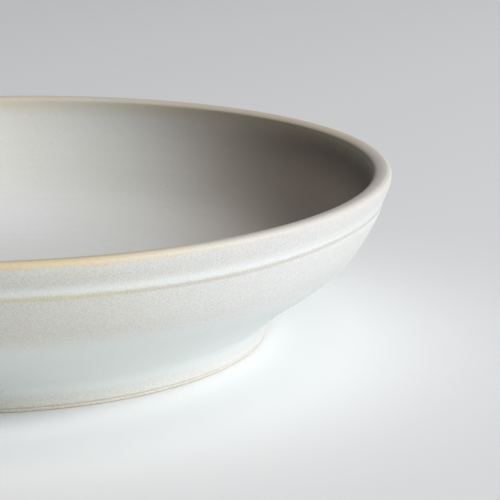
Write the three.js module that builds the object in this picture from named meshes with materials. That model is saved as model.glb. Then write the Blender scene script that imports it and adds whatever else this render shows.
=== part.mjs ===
// A wheel-thrown stoneware serving bowl on a wide foot, with a plain band under its lip.
// The clay is two thrown pieces: the bowl itself, and a foot ring luted to its underside.
// Over the clay lie three coats of glaze: one inside, one outside, and one in the well of the foot.
// They stop short of the ring's resting face, which stays bare clay.
// Millimetres, +Z up, with the origin on the table under the bowl's centre.
import * as THREE from "three";

// Driving sizes, all over the glaze
const RIM_RADIUS = 150;
const RIM_HEIGHT = 64;
const LIP_OUTER = 2.4; // from the lip's crest out to its widest line
const LIP_INNER = 4.5; // from the crest in to where the inner wall starts
const LIP_DROP = 1.8; // from the crest down to both
const FOOT_RADIUS = 103.5;
const FOOT_HEIGHT = 8.1; // from the table up to the bowl's underside
const FOOT_THICKNESS = 10;
const NECK_RADIUS = 104.7; // where the wall runs into the foot
const FLOOR_THICKNESS = 7;

// The band under the lip: a roll, then a flat strip. Depths are inside the rim, drops below the crest
const STRIP = { depth: 2.75, drop: 10.2 }; // the top of the flat strip
const ARRIS = { depth: 3.3, drop: 12.8 }; // the strip's foot, where the wall starts

// The inner wall's waist, where it stops falling steeply, and the edge of the nearly flat floor
const INNER_DROP = 4; // from the crest down to where the inner wall starts
const INNER_DRAW_IN = 0.4; // how far it has drawn in by then
const WAIST_RADIUS = 118;
const WAIST_HEIGHT = 27.5;
const FLOOR_RADIUS = 60;
const FLOOR_RISE = 0.7; // from the floor's centre to its edge

// Handles of the wall's curves: how far each curve runs on before it bends, outwards and up
const LIP_HANDLE = [0, -3.6];
const STRIP_HANDLE = [0.3, 1.6];
const ARRIS_HANDLE = [-12, -27];
const NECK_HANDLE = [23.2, 21.3];
const INNER_HANDLE = [-1.5, -11];
const WAIST_HANDLE = [11, 6.5];
const FLOOR_HANDLE = [25, 0.8];

// The coats and the joint
const GLAZE = 0.6;
const GAP = 0.3; // between each coat or piece and the clay that it lies on
const DRY_EDGE = 1.6; // height of the bare clay above the table
const SOFT_EDGE = 0.8; // how far each edge of the ring's resting face is rounded back

const SEGMENTS = 64;

const at = (radius, height) => new THREE.Vector2(radius, height);
const raise = (point, radius, height) => at(point.x + radius, point.y + height);
const underRim = (line) => at(RIM_RADIUS - line.depth, RIM_HEIGHT - line.drop);

// A curve from start to end, with its two handles.
function sweep(steps, start, leave, arrive, end) {
  const bend = new THREE.CubicBezierCurve(start, raise(start, ...leave), raise(end, ...arrive), end);
  return bend.getPoints(steps);
}

// A quarter of an ellipse that starts level at the crest, out to one side.
function lipSide(crest, reach, steps) {
  return Array.from({ length: steps + 1 }, (_, i) => {
    const angle = ((Math.PI / 2) * i) / steps;
    return raise(crest, reach * Math.sin(angle), LIP_DROP * (Math.cos(angle) - 1));
  });
}

// The same line moved sideways. A positive distance moves it to the left of its own direction.
function moved(line, distance) {
  return line.map((point, i) => {
    const before = line[Math.max(i - 1, 0)];
    const after = line[Math.min(i + 1, line.length - 1)];
    const along = after.clone().sub(before).normalize();
    return raise(point, -along.y * distance, along.x * distance);
  });
}

// A turned solid. Its profile starts and ends on the axis, or closes on itself.
function turned(name, profile, material) {
  const onAxis = profile[0].x === 0;
  const closed = onAxis ? profile : [...profile, profile[0].clone()];
  if (THREE.ShapeUtils.area(profile) < 0) closed.reverse();
  const mesh = new THREE.Mesh(new THREE.LatheGeometry(closed, SEGMENTS), material);
  mesh.name = name;
  mesh.rotation.x = Math.PI / 2; // a lathe turns about Y, and the bowl stands along Z
  return mesh;
}

// The outside, from the lip's crest over the band, down the wall and the foot to the glaze's lower edge.
const crest = at(RIM_RADIUS - LIP_OUTER, RIM_HEIGHT);
const lipOutside = lipSide(crest, LIP_OUTER, 4);
const widest = lipOutside[lipOutside.length - 1];
const band = sweep(8, widest, LIP_HANDLE, STRIP_HANDLE, underRim(STRIP)).slice(1);
const neck = at(NECK_RADIUS, FOOT_HEIGHT);
const wall = sweep(12, underRim(ARRIS), ARRIS_HANDLE, NECK_HANDLE, neck);
const dryLine = at(FOOT_RADIUS, DRY_EDGE);
const outside = [...lipOutside, ...band, ...wall, dryLine];

// The inside, from the lip's crest down the wall, which turns into the floor, to the floor's centre.
const floorHeight = FOOT_HEIGHT + FLOOR_THICKNESS;
const lipInside = lipSide(crest, -LIP_INNER, 4);
const innerTop = raise(crest, -LIP_INNER - INNER_DRAW_IN, -INNER_DROP);
const waist = at(WAIST_RADIUS, WAIST_HEIGHT);
const floorEdge = at(FLOOR_RADIUS, floorHeight + FLOOR_RISE);
const belowWaist = WAIST_HANDLE.map((reach) => -reach);
const inside = [
  ...lipInside,
  ...sweep(7, innerTop, INNER_HANDLE, WAIST_HANDLE, waist),
  ...sweep(6, waist, belowWaist, FLOOR_HANDLE, floorEdge).slice(1),
  at(0, floorHeight),
];

// The same two lines, deeper in the wall by the given distance. Both start straight under the crest.
function deeperOutside(distance) {
  const line = moved(outside, -distance);
  line[0].x = crest.x;
  return line;
}

function deeperInside(distance) {
  const line = moved(inside, distance);
  line[0].x = crest.x;
  line[line.length - 1].x = 0;
  return line;
}

const UNDER = GLAZE + GAP; // how deep the clay lies

const clay = new THREE.MeshStandardMaterial({ color: 0xd2cdc0, roughness: 0.9, metalness: 0 });
const glaze = new THREE.MeshStandardMaterial({ color: 0xd4d5d2, roughness: 0.5, metalness: 0 });

// The clay of the bowl. Its underside is flat from the axis to the neck.
function bowlBody() {
  const outer = deeperOutside(UNDER).filter((point) => point.y > FOOT_HEIGHT + UNDER);
  const corner = raise(neck, -UNDER, 0);
  const profile = [at(0, FOOT_HEIGHT), corner, ...outer.reverse(), ...deeperInside(UNDER).slice(1)];
  return turned("bowl_body", profile, clay);
}

function footRing() {
  const top = FOOT_HEIGHT - GAP;
  const inner = FOOT_RADIUS - FOOT_THICKNESS;
  const back = UNDER + GAP / 2; // how far the ring's side lies inside the glaze's face
  const profile = [
    at(inner + SOFT_EDGE, 0),
    at(FOOT_RADIUS - SOFT_EDGE, 0),
    at(FOOT_RADIUS - SOFT_EDGE / 3, SOFT_EDGE / 3),
    raise(dryLine, -GAP, -GAP),
    raise(dryLine, -back, GAP),
    at(neck.x - back, top),
    at(inner, top),
    at(inner, SOFT_EDGE),
  ];
  return turned("foot_ring", profile, clay);
}

function insideGlaze() {
  const face = inside.slice().reverse();
  return turned("inside_glaze", [...face, ...deeperInside(GLAZE)], glaze);
}

function outsideGlaze() {
  return turned("outside_glaze", [...outside, ...deeperOutside(GLAZE).reverse()], glaze);
}

function footWellGlaze() {
  const inner = FOOT_RADIUS - FOOT_THICKNESS - GAP;
  const top = FOOT_HEIGHT - GAP;
  const profile = [
    at(0, top),
    at(inner, top),
    at(inner, DRY_EDGE),
    at(inner - GLAZE, DRY_EDGE),
    at(inner - GLAZE, top - 2 * GLAZE),
    at(inner - 2 * GLAZE, top - GLAZE),
    at(0, top - GLAZE),
  ];
  return turned("foot_well_glaze", profile, glaze);
}

const bowl = new THREE.Group();
bowl.add(bowlBody(), footRing(), insideGlaze(), outsideGlaze(), footWellGlaze());
export default bowl;
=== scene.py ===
"""A stoneware serving bowl: thrown clay under three coats of satin glaze, on a pale studio floor."""

import math

import bpy
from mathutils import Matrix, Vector


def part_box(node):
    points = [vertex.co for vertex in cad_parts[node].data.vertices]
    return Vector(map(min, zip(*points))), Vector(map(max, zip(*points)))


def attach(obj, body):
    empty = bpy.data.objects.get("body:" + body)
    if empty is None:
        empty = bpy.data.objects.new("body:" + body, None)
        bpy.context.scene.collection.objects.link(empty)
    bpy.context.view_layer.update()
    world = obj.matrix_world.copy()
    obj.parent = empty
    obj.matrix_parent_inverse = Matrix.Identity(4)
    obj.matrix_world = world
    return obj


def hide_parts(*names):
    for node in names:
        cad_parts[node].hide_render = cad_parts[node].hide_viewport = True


bl_info = {
    "name": "Stoneware Serving Bowl",
    "version": (1, 0, 0),
    "blender": (4, 5, 0),
    "location": "View3D > Sidebar > Bowl",
    "description": "Turns a banded stoneware bowl, glazes it and sets it on a studio floor",
    "category": "Add Mesh",
}

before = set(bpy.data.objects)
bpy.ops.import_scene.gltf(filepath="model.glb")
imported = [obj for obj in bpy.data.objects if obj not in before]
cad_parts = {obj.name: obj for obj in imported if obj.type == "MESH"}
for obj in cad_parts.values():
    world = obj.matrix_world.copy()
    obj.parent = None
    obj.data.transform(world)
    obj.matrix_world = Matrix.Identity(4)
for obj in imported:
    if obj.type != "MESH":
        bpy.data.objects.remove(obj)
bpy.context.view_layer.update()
outside_low, outside_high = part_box("outside_glaze")
body_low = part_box("bowl_body")[0]

MM = 0.001
FULL_TURN = 2 * math.pi
WELD = 0.002 * MM  # points closer than this are one point
SHARP = math.radians(50)  # edges sharper than this stay crisp

# Handles of the wall's curves in millimetres: how far each runs on before it bends, across and up
LIP_HANDLE = (0, -3.6)
STRIP_HANDLE = (0.3, 1.6)
ARRIS_HANDLE = (-12, -27)
NECK_HANDLE = (23.2, 21.3)
INNER_START = (-0.4, -4)  # from the lip's inner side, level with the crest, to the start of the inner wall
INNER_HANDLE = (-1.5, -11)
WAIST_HANDLE = (11, 6.5)
FLOOR_HANDLE = (25, 0.8)

# How finely the outlines are drawn
CURVE_STEPS = 40
LIP_STEPS = 16
FIRST_LIP_STEP = 0.1  # of the others, so that the crest is level
CREST_POINTS = 4  # points at the crest that softening leaves alone, and that a coat's back keeps
BACK_STEP = 3  # below them, a coat's back keeps every third point of its face
BODY_STEP = 2  # the clay's outside keeps every second
HIDDEN_SPACING = 4 * MM  # between the points of a flat face that lies hidden
BEND_PULL = 0.6  # how far the handles of a soft bend reach towards its corner
OUTSIDE_SOFTENING = 3
INSIDE_SOFTENING = 4
FOOT_SOFTENING = 2

# Where the glaze and its painted light and shade change, in millimetres: a change starts at the first number
# and is whole at the second
LEFT_SIDE = (95, 10)  # along X
NARROWING = (60, 155)
# painted warm tint of the shade across the inside's right side
WARM_SHADE_SIDE = (50, 140)
# painted shade across the inside's right side
PAINTED_SHADE_SIDE = (95, 148)
# painted light: the inside floor is paler towards the left, where the light falls
PALE_SIDE = (70, 10)
FRONT = (60, -20)  # along Y
LIP_TAN = (3.2, 0.7)  # below the lip's crest
# painted shade on the lip's outer side
LIP_SHADE = (8.5, 2)
STRIP_TOP = (7.6, 10)
STRIP_FOOT = (12.2, 10.8)
INNER_TAN = (9, 1)
# the painted shade inside on the right lies on the wall just under the lip
PAINTED_SHADE_WALL = (22, 4)
PAINTED_SHADE_LIP = (1.5, 3.5)
# the arris line: glaze broken thin on the arris, with painted shade of the corner under the strip
ARRIS_LINE = (1.2, 0.2)  # away from the arris
FOOT_TAN = (2.6, 0.8)  # above the table
FLARE_TOP = (38, 29)
FLARE_FOOT = (4, 8)
# the inside floor, where the glaze pools and where light is painted on
PALE_FLOOR = (36, 18)

# How far the edges of those changes wander, and how far the band's lines climb where it narrows
LIP_WANDER = 1.6 * MM
FOOT_WANDER = 1.5 * MM
ARRIS_WANDER = 0.6 * MM
INNER_WANDER = 2 * MM
BAND_CLIMB = 2.3 * MM

# How strong the changes are. A pair is for the right and for the left
FAR_RIGHT = 0.05  # how much of the left side's look the far right has
BEHIND = 0.5  # and the back
STRIP_POOL = (0.55, 0.6)
# broken glaze and painted shade of the corner under the strip, darkest on the right
ARRIS_BREAK_AND_SHADE = (0.5, 0.75)
FOOT_BREAK = (0.2, 0.45)
# how strong the painted shade on the lip's outer side is
LIP_DARKENING = (0.14, 0.04)
INNER_BREAK = 0.8
# strength of the painted warm tint of the shade on the inside's right
WARM_SHADE_STRENGTH = 0.55
# painted light on the inside floor, together with its paler pooled glaze
PALENESS = 0.3  # of the inside floor on the right. The left has 1
FLOOR_POOL = 0.4
RING_SHADE = 0.08

# The glaze's grain, and how rough it is
OUTSIDE_GRAIN = 1
INSIDE_GRAIN = 0.45
CONTRAST = (0.3, 0.7)  # the middle of a noise, which is spread from 0 to 1
CLOUDS = (0.4, 0.7)
CLOUD_TAN = 0.08
POOLED_CALM = 0.6  # how much of the grain is gone where the glaze has pooled
BROKEN = 0.85  # how much of the tan shows where the grain is even
BROKEN_GRAIN = 0.6
GRAIN_SHADE = 0.22
SPECK_EDGE = (0.034, 0.018)
SPECK_STRENGTH = 0.7
SATIN = 0.58
GRAIN_ROUGHNESS = 0.14
POOLED_ROUGHNESS = -0.06
THIN_ROUGHNESS = 0.08
GLASS_IOR = 1.5
RELIEF = 0.25
RELIEF_DEPTH = 0.1 * MM
FINE_RELIEF = 0.6
BROAD_RELIEF = 0.8
SANDY = 0.9
SAND_SHADES = (0.85, 1.12)
SAND_RELIEF = 0.5
SAND_DEPTH = 0.15 * MM

# Lumps of each noise in a metre
GRAIN_LUMPS = 1700
RIPPLE_LUMPS = 380
RING_LUMPS = 260
WANDER_LUMPS = 140
SPECKS = 110
CLOUD_LUMPS = 22
SAND_LUMPS = 1400
FINE = 0.7  # roughness of a fine noise

# The studio, in metres and degrees
LAMP_DISTANCE = 6
LAMPS = {
    "window": {"azimuth": 62, "elevation": 37, "width": 2.4, "height": 2.5, "radiance": 19},
    "sky": {"azimuth": 97, "elevation": 65, "width": 2.4, "height": 2.4, "radiance": 3.6},
    "low_screen": {"azimuth": 38, "elevation": 10, "width": 2.8, "height": 1.9, "radiance": 6.4},
}
STUDIO_RADIUS = 6
STUDIO_SIDES = 96
STUDIO_ROUGHNESS = 0.7
AIR_COLOUR = (1.0, 0.85, 0.72, 1)
AIR_STRENGTH = 0.012
CAMERA_PLACE = (0, -0.75, 0.2205)
CAMERA_DIP = 0.2502  # radians below level
CAMERA_TURN = 0.1296  # radians to the right
CAMERA_LENS = 145.1  # millimetres


def length(name, description, default):
    """A size in metres that shows in the sidebar."""
    return bpy.props.FloatProperty(
        name=name, description=description, default=default, unit="LENGTH", precision=4
    )


def paint(name, description, default):
    """A colour that shows in the sidebar."""
    return bpy.props.FloatVectorProperty(
        name=name, description=description, default=default, subtype="COLOR"
    )


def reach(name, description, default):
    """A pair of lengths in metres, across and up, given in millimetres."""
    return bpy.props.FloatVectorProperty(
        name=name,
        description=description,
        default=[n * MM for n in default],
        size=2,
        unit="LENGTH",
        precision=4,
    )


class BowlSizes(bpy.types.PropertyGroup):
    """The driving sizes of the bowl, over the glaze."""

    rim_radius: length("Rim radius", "Outermost radius of the lip", outside_high.x)
    rim_height: length("Rim height", "Height of the lip's crest", outside_high.z)
    lip_outer: length("Lip, outer side", "From the crest out to the widest line", 2.4 * MM)
    lip_inner: length("Lip, inner side", "From the crest in to the inner wall", 4.5 * MM)
    lip_drop: length("Lip drop", "From the crest down to both sides", 1.8 * MM)
    strip: reach("Strip", "Depth inside the rim, and drop below the crest, of the strip's top", (2.75, 10.2))
    arris: reach("Arris", "Depth inside the rim, and drop below the crest, of the strip's foot", (3.3, 12.8))
    foot_radius: length("Foot radius", "Outer radius of the foot", 103.5 * MM)
    neck_bend: length("Neck bend", "Reach of the soft bend between wall and foot", 4 * MM)
    foot_height: length("Foot height", "From the table up to the bowl's underside", body_low.z)
    foot_thickness: length("Foot thickness", "Thickness of the foot ring", 10 * MM)
    neck_radius: length("Neck radius", "Where the wall runs into the foot", 104.7 * MM)
    floor_thickness: length("Floor thickness", "Thickness of the floor", 7 * MM)
    waist: reach("Waist", "Radius and height where the inner wall turns into the floor", (118, 27.5))
    floor_radius: length("Floor radius", "Radius of the nearly flat floor", 60 * MM)
    floor_rise: length("Floor rise", "From the floor's middle up to its edge", 0.7 * MM)
    coat: length("Coat", "Thickness of the glaze", 0.6 * MM)
    gap: length("Gap", "Gap between a coat and its clay", 0.3 * MM)
    dry_edge: length("Dry edge", "Height of the bare clay at the foot", outside_low.z)
    soft_edge: length("Soft edge", "Rounding of the resting face", 0.8 * MM)
    spacing: length("Spacing", "Distance between points of a turned outline", 0.5 * MM)
    turning_steps: bpy.props.IntProperty(
        name="Turning steps", description="Steps in a full turn", default=288, min=64, max=512
    )


class BowlColours(bpy.types.PropertyGroup):
    """The colours of glaze, clay and floor."""

    glaze: paint("Glaze", "The glaze on a wall", (0.665, 0.67, 0.662))
    creamy: paint("Creamy glaze", "The glaze on a wall, on the left", (0.635, 0.64, 0.592))
    pooled: paint("Pooled glaze", "The glaze where it has run together", (0.705, 0.755, 0.742))
    thin: paint("Thin glaze", "The glaze where it breaks over an edge, on the left", (0.62, 0.505, 0.305))
    olive: paint("Olive glaze", "The glaze on the arris, on the left", (0.58, 0.555, 0.385))
    # partly glaze broken on the arris, partly painted shade of the corner under the strip
    worn_and_shaded_arris: paint("Worn arris", "The glaze on the arris, on the right", (0.4, 0.385, 0.335))
    # glaze broken thin over crest and foot on the right, made darker as painted shade on the lip
    worn_and_shaded: paint("Worn glaze", "The glaze where it breaks over an edge, on the right", (0.55, 0.53, 0.5))
    # painted shade colour: a warm tint for the inside's shaded right side
    warm_shade_tint: paint("Toasted glaze", "The glaze inside on the right", (0.68, 0.53, 0.42))
    # painted shade: a near-black colour put where the inside right wall lies in shade
    painted_shade: paint("Smoky glaze", "The glaze inside on the right, by the rim", (0.17, 0.15, 0.135))
    # partly paler pooled glaze, partly painted light on the inside floor
    pale_and_lit: paint("Pale glaze", "The glaze on the floor inside", (0.72, 0.725, 0.73))
    speck: paint("Speck", "Iron specks in the glaze", (0.20, 0.17, 0.14))
    clay: paint("Clay", "The fired clay", (0.64, 0.61, 0.53))
    floor: paint("Floor", "The studio floor", (0.79, 0.8, 0.81))


def at(radius, height):
    """A point of a profile, on the bowl's +X side."""
    return Vector((radius, 0, height))


def curve(a, b, c, d, steps=CURVE_STEPS):
    """Points along a Bezier curve from a to d."""
    result = []
    for i in range(steps + 1):
        t = i / steps
        u = 1 - t
        result.append(a * u ** 3 + 3 * b * t * u ** 2 + 3 * c * t * t * u + d * t ** 3)
    return result


def sweep(start, leave, arrive, end):
    """Points along a curve from start to end, with its two handles in millimetres."""
    return curve(start, start + at(*leave) * MM, end + at(*arrive) * MM, end)


def crest_radius(s):
    """Radius of the lip's crest."""
    return s.rim_radius - s.lip_outer


def lip_side(s, across):
    """A quarter of an ellipse, out to one side of the crest, which it leaves level by a first tiny step."""
    crest = at(crest_radius(s), s.rim_height)
    places = (0, FIRST_LIP_STEP, *range(1, LIP_STEPS + 1))
    angles = [math.pi / 2 * place / LIP_STEPS for place in places]
    return [crest + at(across * math.sin(a), s.lip_drop * (math.cos(a) - 1)) for a in angles]


def evenly(points, spacing):
    """The same line with its points about one spacing apart."""
    result = [points[0]]
    for there in points[1:]:
        start = result[-1]
        reached = (there - start).length
        if reached < spacing / 2 and there is not points[-1]:
            continue
        count = max(1, round(reached / spacing))
        result += [start.lerp(there, (i + 1) / count) for i in range(count)]
    return result


def rounded(points, corner, reached):
    """The same line with a soft bend in place of a corner, from one reach before it to one reach after it."""
    near = [i for i, point in enumerate(points) if (point - corner).length < reached]
    before, after = points[near[0] - 1], points[near[-1] + 1]
    handles = (before.lerp(corner, BEND_PULL), after.lerp(corner, BEND_PULL))
    bend = curve(before, *handles, after, len(near) + 1)
    return points[: near[0] - 1] + bend + points[near[-1] + 2 :]


def softened(points, times):
    """Corners rounded as a coat of glaze rounds them. The ends stay."""
    for _ in range(times):
        middle = [(a + 2 * b + c) / 4 for a, b, c in zip(points, points[1:], points[2:])]
        points = [points[0], *middle, points[-1]]
    return points


def moved(points, distance):
    """The same line moved sideways, to the left of its own direction."""
    result = []
    for i, point in enumerate(points):
        along = (points[min(i + 1, len(points) - 1)] - points[max(i - 1, 0)]).normalized()
        result.append(point + at(-along.z, along.x) * distance)
    return result


def deeper(points, distance):
    """The same line at another depth in the wall. Its start, and an end on the axis, keep their radius."""
    result = moved(points, distance)
    result[0].x = points[0].x
    if points[-1].x == 0:
        result[-1].x = 0
    return result


def under_rim(s, line):
    """A line of the band, from its depth inside the rim and its drop below the crest."""
    return at(s.rim_radius - line[0], s.rim_height - line[1])


def outside_line(s):
    """From the lip's crest over the band, down the wall and the foot to the glaze's lower edge."""
    lip = lip_side(s, s.lip_outer)
    neck = at(s.neck_radius, s.foot_height)
    band = sweep(lip[-1], LIP_HANDLE, STRIP_HANDLE, under_rim(s, s.strip))
    wall = sweep(under_rim(s, s.arris), ARRIS_HANDLE, NECK_HANDLE, neck)
    below = evenly(band[1:] + wall + [at(s.foot_radius, s.dry_edge)], s.spacing)
    below = rounded(below, neck, s.neck_bend)
    return lip[:CREST_POINTS] + softened(lip[CREST_POINTS:] + below, OUTSIDE_SOFTENING)


def inside_line(s):
    """From the lip's crest down the inner wall to the middle of the floor."""
    lip = lip_side(s, -s.lip_inner)
    floor_height = s.foot_height + s.floor_thickness
    top = at(crest_radius(s) - s.lip_inner, s.rim_height) + at(*INNER_START) * MM
    waist = at(*s.waist)
    edge = at(s.floor_radius, floor_height + s.floor_rise)
    wall = sweep(top, INNER_HANDLE, WAIST_HANDLE, waist)
    turn = sweep(waist, [-n for n in WAIST_HANDLE], FLOOR_HANDLE, edge)
    down = evenly(wall + turn[1:] + [at(0, floor_height)], 2 * s.spacing)
    return lip[:CREST_POINTS] + softened(lip[CREST_POINTS:] + down, INSIDE_SOFTENING)


def deselect():
    """Nothing is selected, and no object is being edited."""
    if bpy.context.object and bpy.context.object.mode != "OBJECT":
        bpy.ops.object.mode_set(mode="OBJECT")
    bpy.ops.object.select_all(action="DESELECT")


def turned(name, profile):
    """A solid of revolution: a point is drawn out along the profile, and the line is spun round the axis."""
    deselect()
    bpy.ops.mesh.primitive_plane_add(size=MM)
    piece = bpy.context.object
    piece.name = name
    bpy.ops.object.mode_set(mode="EDIT")
    bpy.ops.mesh.select_all(action="SELECT")
    bpy.ops.mesh.merge(type="CENTER")
    bpy.ops.transform.translate(value=profile[0])
    for here, there in zip(profile, profile[1:]):
        bpy.ops.mesh.extrude_region_move(TRANSFORM_OT_translate={"value": there - here})
    bpy.ops.mesh.select_all(action="SELECT")
    steps = bpy.context.scene.bowl_sizes.turning_steps
    bpy.ops.mesh.spin(steps=steps, angle=FULL_TURN, center=(0, 0, 0), axis=(0, 0, 1))
    bpy.ops.mesh.select_all(action="SELECT")
    bpy.ops.mesh.remove_doubles(threshold=WELD)
    bpy.ops.mesh.normals_make_consistent(inside=False)
    bpy.ops.object.mode_set(mode="OBJECT")
    bpy.ops.object.shade_smooth_by_angle(angle=SHARP)
    return piece


def dress(piece, node, finish):
    """The piece takes its material and stands for its node of the frame."""
    piece.data.materials.clear()
    piece.data.materials.append(finish)
    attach(piece, "root")
    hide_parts(node)


class Value:
    """An output of a shader node. Arithmetic on it adds Math nodes."""

    def __init__(self, finish, socket):
        self.finish = finish
        self.socket = socket

    def math(self, operation, *others):
        return self.finish.node("ShaderNodeMath", {"operation": operation}, [self, *others])

    def __add__(self, other):
        return self.math("ADD", other)

    def __radd__(self, other):
        return self.math("ADD", other)

    def __sub__(self, other):
        return self.math("SUBTRACT", other)

    def __rsub__(self, other):
        return self.finish.node("ShaderNodeMath", {"operation": "SUBTRACT"}, [other, self])

    def __mul__(self, other):
        return self.math("MULTIPLY", other)

    def __rmul__(self, other):
        return self.math("MULTIPLY", other)

    def shade(self, amount):
        """A colour made lighter or darker by a factor."""
        sockets = {"Vector": self, "Scale": amount}
        return self.finish.node("ShaderNodeVectorMath", {"operation": "SCALE"}, sockets)

    def ramp(self, low, high):
        """0 below low and 1 above high, and the reverse where low is the larger."""
        return self.finish.node(
            "ShaderNodeMapRange",
            {"interpolation_type": "SMOOTHSTEP", "clamp": True},
            {"Value": self, "From Min": low, "From Max": high},
        )

    def across(self, span):
        """A ramp over a span in millimetres."""
        return self.ramp(span[0] * MM, span[1] * MM)


class Finish:
    """A node material under way."""

    def __init__(self, name):
        self.material = bpy.data.materials.new(name)
        self.material.use_nodes = True
        self.tree = self.material.node_tree
        self.shader = self.tree.nodes["Principled BSDF"]

    def node(self, kind, settings=None, inputs=None, output=0):
        """Adds a node. Its settings come first, then the values or links of its sockets."""
        node = self.tree.nodes.new(kind)
        for name, value in (settings or {}).items():
            setattr(node, name, value)
        pairs = inputs.items() if isinstance(inputs, dict) else enumerate(inputs or [])
        for key, value in pairs:
            self.feed(node.inputs[key], value)
        return Value(self, node.outputs[output])

    def feed(self, socket, value):
        if isinstance(value, Value):
            self.tree.links.new(value.socket, socket)
        else:
            socket.default_value = value

    def mix(self, factor, a, b):
        """The colour a where factor is 0, and b where it is 1."""
        node = self.tree.nodes.new("ShaderNodeMix")
        node.data_type = "RGBA"
        for key, value in (("Factor_Float", factor), ("A_Color", a), ("B_Color", b)):
            socket = next(s for s in node.inputs if s.identifier == key)
            self.feed(socket, value if isinstance(value, (Value, float)) else (*value, 1))
        return Value(self, next(s for s in node.outputs if s.identifier == "Result_Color"))

    def set(self, values):
        """Feeds the shader's own sockets, by their names."""
        for name, value in values.items():
            self.feed(self.shader.inputs[name], value)

    def bump(self, strength, depth, height):
        """Small relief, in the shader's Normal."""
        sockets = {"Strength": strength, "Distance": depth, "Height": height}
        self.set({"Normal": self.node("ShaderNodeBump", {}, sockets)})


def noise(finish, point, scale, detail=2, roughness=0.5):
    """Cloudy noise from 0 to 1 whose lumps are about one over scale across."""
    return finish.node(
        "ShaderNodeTexNoise", {},
        {"Vector": point, "Scale": scale, "Detail": detail, "Roughness": roughness},
    )


class Place:
    """Where a point of the bowl lies, as values for the masks of a glaze."""

    def __init__(self, finish, sizes):
        self.point = finish.node("ShaderNodeTexCoord", output="Object")
        split = finish.node("ShaderNodeSeparateXYZ", {}, {"Vector": self.point})
        self.x, self.y, self.height = (Value(finish, split.socket.node.outputs[i]) for i in range(3))
        self.drop = sizes.rim_height - self.height
        self.arris_drop = sizes.arris[1]
        self.wander = noise(finish, self.point, WANDER_LUMPS) - 0.5
        front = self.y.across(FRONT)
        side = FAR_RIGHT + self.x.across(LEFT_SIDE) * (1 - FAR_RIGHT)
        self.left = front * side + (1 - front) * BEHIND

    def sided(self, pair):
        """An amount that goes from the right's to the left's, both given as a pair."""
        right, left = pair
        return right + self.left * (left - right)


def dipped(finish, place, colours):
    """The outside coat's colour, and where it is thin and pooled. The band narrows a little towards +X. The
    lip's outer side and the arris line carry painted shade, most on the right.
    """
    band_drop = place.drop + BAND_CLIMB * place.x.across(NARROWING)
    off_arris = (band_drop - place.arris_drop).math("ABSOLUTE")
    lip = (place.drop + place.wander * LIP_WANDER).across(LIP_TAN)
    foot = (place.height + place.wander * FOOT_WANDER).across(FOOT_TAN) * place.sided(FOOT_BREAK)
    arris = (off_arris + place.wander * ARRIS_WANDER).across(ARRIS_LINE) * place.sided(ARRIS_BREAK_AND_SHADE)
    strip = band_drop.across(STRIP_TOP) * band_drop.across(STRIP_FOOT) * place.sided(STRIP_POOL)
    flare = place.height.across(FLARE_TOP) * place.height.across(FLARE_FOOT)
    pooled = strip.math("MAXIMUM", flare)
    body = finish.mix(place.left, colours.glaze, colours.creamy)
    body = finish.mix(pooled, body, colours.pooled)
    # the arris line: broken glaze, with painted shade of the corner under the strip, darkest on the right
    body = finish.mix(arris, body, finish.mix(place.left, colours.worn_and_shaded_arris, colours.olive))
    # painted shade: the lip's outer side is darkened, most on the right
    body = body.shade(1 - place.drop.across(LIP_SHADE) * place.sided(LIP_DARKENING))
    return body, lip.math("MAXIMUM", foot), pooled


def poured(finish, place, colours):
    """The inside coat's colour, and where it is thin and pooled. Towards +X it has a painted warm tint of
    shade, and painted shade by the rim. Its floor is painted paler, partly as pooled glaze and partly as
    painted light, most on the left.
    """
    thin = (place.drop + place.wander * INNER_WANDER).across(INNER_TAN) * INNER_BREAK
    floor = place.height.across(PALE_FLOOR)
    # the floor's paler glaze is partly pooled glaze and partly painted light, most on the left
    pale_and_lit = floor * (PALENESS + place.x.across(PALE_SIDE) * (1 - PALENESS))
    # painted shade inside on the right, on the wall just under the lip
    painted_shade = place.x.across(PAINTED_SHADE_SIDE) * place.drop.across(PAINTED_SHADE_WALL) * place.drop.across(PAINTED_SHADE_LIP)
    radius = (place.x * place.x + place.y * place.y).math("POWER", 0.5)
    turning = finish.node("ShaderNodeCombineXYZ", {}, [radius, 0, place.height])
    rings = noise(finish, turning, RING_LUMPS) - 0.5
    body = finish.mix(place.left, colours.glaze, colours.creamy)
    body = finish.mix(pale_and_lit, body, colours.pale_and_lit)
    # painted warm tint of the shade on the inside's right
    body = finish.mix(place.x.across(WARM_SHADE_SIDE) * WARM_SHADE_STRENGTH, body, colours.warm_shade_tint)
    body = finish.mix(painted_shade, body, colours.painted_shade)
    return body.shade(1 + rings * RING_SHADE), thin, floor * FLOOR_POOL


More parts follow.
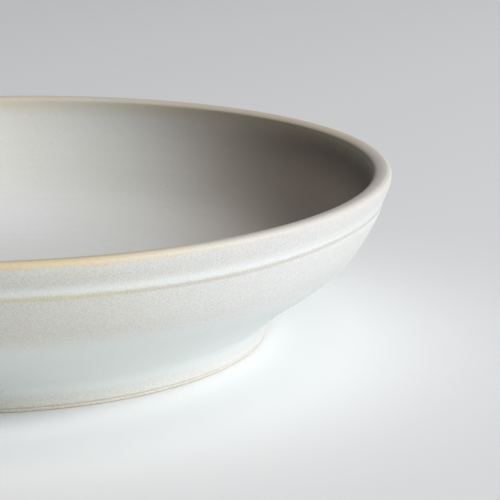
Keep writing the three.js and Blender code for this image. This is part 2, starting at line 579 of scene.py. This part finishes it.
def satin_glaze(name, coat, grainy):
    """Satin white glaze, mottled and specked, thin over the edges and pooled where it has run. Its coat adds
    painted light and shade.
    """
    colours = bpy.context.scene.bowl_colours
    finish = Finish(name)
    place = Place(finish, bpy.context.scene.bowl_sizes)
    body, thin, pooled = coat(finish, place, colours)
    grain = noise(finish, place.point, GRAIN_LUMPS, detail=3, roughness=FINE)
    cloud = noise(finish, place.point, CLOUD_LUMPS)
    mottle = (grain.ramp(*CONTRAST) - 0.5) * (1 - pooled * POOLED_CALM) * grainy
    # on the right the broken glaze is darkened as painted shade
    tan = finish.mix(place.left, colours.worn_and_shaded, colours.thin)
    broken = thin * (BROKEN + mottle * BROKEN_GRAIN) + cloud.ramp(*CLOUDS) * CLOUD_TAN
    body = finish.mix(broken, body, tan).shade(1 + mottle * GRAIN_SHADE)
    sockets = {"Vector": place.point, "Scale": SPECKS}
    cell = finish.node("ShaderNodeTexVoronoi", {"feature": "F1"}, sockets)
    speck = cell.ramp(*SPECK_EDGE) * SPECK_STRENGTH
    finish.set({
        "Base Color": finish.mix(speck, body, colours.speck),
        "Roughness": SATIN + mottle * GRAIN_ROUGHNESS + pooled * POOLED_ROUGHNESS + thin * THIN_ROUGHNESS,
        "IOR": GLASS_IOR,
    })
    ripple = grain * FINE_RELIEF + noise(finish, place.point, RIPPLE_LUMPS) * BROAD_RELIEF
    finish.bump(RELIEF * grainy, RELIEF_DEPTH, ripple)
    return finish.material


def bare_clay(name):
    """Fired stoneware clay, sandy and matte."""
    finish = Finish(name)
    point = finish.node("ShaderNodeTexCoord", output="Object")
    sand = noise(finish, point, SAND_LUMPS, detail=4, roughness=FINE)
    clay = bpy.context.scene.bowl_colours.clay
    dark, light = ([channel * shade for channel in clay] for shade in SAND_SHADES)
    finish.set({"Base Color": finish.mix(sand.ramp(*CONTRAST), dark, light), "Roughness": SANDY})
    finish.bump(SAND_RELIEF, SAND_DEPTH, sand)
    return finish.material


def shared(name, make, *details):
    """The material of that name, made when it is first asked for."""
    return bpy.data.materials.get(name) or make(name, *details)


class ThrowBody(bpy.types.Operator):
    """Throw the bowl's clay body, with its lip, band, wall and floor"""

    bl_idname = "bowl.throw_body"
    bl_label = "Throw the body"

    def execute(self, context):
        s = context.scene.bowl_sizes
        under = s.coat + s.gap
        outer = deeper(outside_line(s)[::BODY_STEP], -under)
        outer = [point for point in outer if point.z > s.foot_height + under]
        inner = deeper(inside_line(s), under)[1:]
        corner = at(s.neck_radius - under, s.foot_height)
        base = evenly([at(0, s.foot_height), corner], HIDDEN_SPACING)
        body = turned("thrown_body", base + outer[::-1] + inner)
        dress(body, "bowl_body", shared("sanded_clay", bare_clay))
        return {"FINISHED"}


class LuteFoot(bpy.types.Operator):
    """Turn the foot ring and set it under the body"""

    bl_idname = "bowl.lute_foot"
    bl_label = "Lute on the foot"

    def execute(self, context):
        s = context.scene.bowl_sizes
        top = s.foot_height - s.gap
        inner = s.foot_radius - s.foot_thickness
        back = s.coat + s.gap + s.gap / 2
        face = [
            at(inner, s.soft_edge),
            at(inner + s.soft_edge / 3, s.soft_edge / 3),
            at(inner + s.soft_edge, 0),
            at(s.foot_radius - s.soft_edge, 0),
            at(s.foot_radius - s.soft_edge / 2, s.soft_edge / 5),
            at(s.foot_radius - s.gap, s.soft_edge / 2),
            at(s.foot_radius - s.gap, s.dry_edge - s.gap),
        ]
        side = [at(s.foot_radius - back, s.dry_edge + s.gap), at(s.neck_radius - back, top), at(inner, top)]
        profile = softened(evenly(face, s.spacing / 2), FOOT_SOFTENING) + evenly(side, s.spacing * 2)
        profile += evenly([side[-1], face[0]], s.spacing * 2)[1:]
        foot = turned("thrown_foot", profile)
        dress(foot, "foot_ring", shared("sanded_clay", bare_clay))
        return {"FINISHED"}


class PourInside(bpy.types.Operator):
    """Pour the inside coat, from the lip's crest to the middle of the floor"""

    bl_idname = "bowl.pour_inside"
    bl_label = "Pour the inside"

    def execute(self, context):
        s = context.scene.bowl_sizes
        face = inside_line(s)
        back = deeper([*face[:CREST_POINTS], *face[CREST_POINTS:-1:BACK_STEP], face[-1]], s.coat)
        coat = turned("coat_inside", face[::-1] + back)
        glaze = shared("poured_glaze", satin_glaze, poured, INSIDE_GRAIN)
        dress(coat, "inside_glaze", glaze)
        return {"FINISHED"}


class DipOutside(bpy.types.Operator):
    """Dip the outside, from the lip's crest to the dry edge above the table"""

    bl_idname = "bowl.dip_outside"
    bl_label = "Dip the outside"

    def execute(self, context):
        s = context.scene.bowl_sizes
        face = outside_line(s)
        back = deeper(face[:CREST_POINTS] + face[CREST_POINTS::BACK_STEP], -s.coat)
        end = [face[-1] - at(s.coat / 2, s.coat / 3), back[-1]]
        coat = turned("coat_outside", face + end + back[-2::-1] + [face[0].copy()])
        glaze = shared("dipped_glaze", satin_glaze, dipped, OUTSIDE_GRAIN)
        dress(coat, "outside_glaze", glaze)
        return {"FINISHED"}


class GlazeWell(bpy.types.Operator):
    """Brush the coat in the well of the foot"""

    bl_idname = "bowl.glaze_well"
    bl_label = "Glaze the foot's well"

    def execute(self, context):
        s = context.scene.bowl_sizes
        inner = s.foot_radius - s.foot_thickness - s.gap
        top = s.foot_height - s.gap
        side = evenly([at(inner, top), at(inner, s.dry_edge), at(inner - s.coat, s.dry_edge)], s.spacing)
        face = [side[-1], at(inner - s.coat, top - s.coat), at(0, top - s.coat)]
        face = rounded(evenly(face, s.spacing), face[1], 2 * s.coat)
        profile = evenly([at(0, top), at(inner, top)], HIDDEN_SPACING) + side[1:] + face[1:]
        coat = turned("coat_well", profile)
        glaze = shared("poured_glaze", satin_glaze, poured, INSIDE_GRAIN)
        dress(coat, "foot_well_glaze", glaze)
        return {"FINISHED"}


def lamp(name, azimuth, elevation, width, height, radiance):
    """A soft screen of light, turned to the bowl from an azimuth off the front towards +X. It isn't seen."""
    across, up = math.radians(azimuth), math.radians(elevation)
    towards = Vector((math.sin(across) * math.cos(up), -math.cos(across) * math.cos(up), math.sin(up)))
    deselect()
    bpy.ops.object.light_add(type="AREA", location=towards * LAMP_DISTANCE)
    lit = bpy.context.object
    lit.name = name
    lit.data.shape = "RECTANGLE"
    lit.data.size = width
    lit.data.size_y = height
    lit.data.energy = math.pi * width * height * radiance
    lit.visible_camera = False
    lit.rotation_euler = (-towards).to_track_quat("-Z", "Y").to_euler()


class SetStage(bpy.types.Operator):
    """Lay the pale floor and set the lamps and the camera"""

    bl_idname = "bowl.set_stage"
    bl_label = "Set the stage"

    def execute(self, context):
        scene = context.scene
        scene.view_settings.view_transform = "Standard"
        deselect()
        bpy.ops.mesh.primitive_circle_add(vertices=STUDIO_SIDES, radius=STUDIO_RADIUS, fill_type="NGON")
        floor = context.object
        floor.name = "studio_floor"
        finish = Finish("studio_floor")
        finish.set({"Base Color": (*scene.bowl_colours.floor, 1), "Roughness": STUDIO_ROUGHNESS})
        floor.data.materials.append(finish.material)

        world = bpy.data.worlds.new("studio")
        world.use_nodes = True
        air = world.node_tree.nodes["Background"]
        air.inputs["Color"].default_value = AIR_COLOUR
        air.inputs["Strength"].default_value = AIR_STRENGTH
        scene.world = world
        for name, settings in LAMPS.items():
            lamp(name, **settings)

        camera = bpy.data.cameras.new("photo_view")
        camera.lens = CAMERA_LENS
        viewer = bpy.data.objects.new("photo_view", camera)
        scene.collection.objects.link(viewer)
        viewer.location = CAMERA_PLACE
        viewer.rotation_euler = (math.pi / 2 - CAMERA_DIP, 0, -CAMERA_TURN)
        scene.camera = viewer
        return {"FINISHED"}


class BowlPanel(bpy.types.Panel):
    """The steps of making the bowl, in order"""

    bl_idname = "VIEW3D_PT_bowl"
    bl_label = "Stoneware bowl"
    bl_space_type = "VIEW_3D"
    bl_region_type = "UI"
    bl_category = "Bowl"

    def draw(self, context):
        layout = self.layout
        for group in (context.scene.bowl_sizes, context.scene.bowl_colours):
            for name in group.__annotations__:
                layout.prop(group, name)
        for step in OPERATORS:
            layout.operator(step.bl_idname)


OPERATORS = (ThrowBody, LuteFoot, PourInside, DipOutside, GlazeWell, SetStage)
CLASSES = (BowlSizes, BowlColours, *OPERATORS, BowlPanel)


def register():
    for cls in CLASSES:
        bpy.utils.register_class(cls)
    bpy.types.Scene.bowl_sizes = bpy.props.PointerProperty(type=BowlSizes)
    bpy.types.Scene.bowl_colours = bpy.props.PointerProperty(type=BowlColours)


def unregister():
    del bpy.types.Scene.bowl_colours
    del bpy.types.Scene.bowl_sizes
    for cls in reversed(CLASSES):
        bpy.utils.unregister_class(cls)


def main():
    register()
    bpy.ops.bowl.throw_body()
    bpy.ops.bowl.lute_foot()
    bpy.ops.bowl.pour_inside()
    bpy.ops.bowl.dip_outside()
    bpy.ops.bowl.glaze_well()
    bpy.ops.bowl.set_stage()


if __name__ == "__main__":
    main()
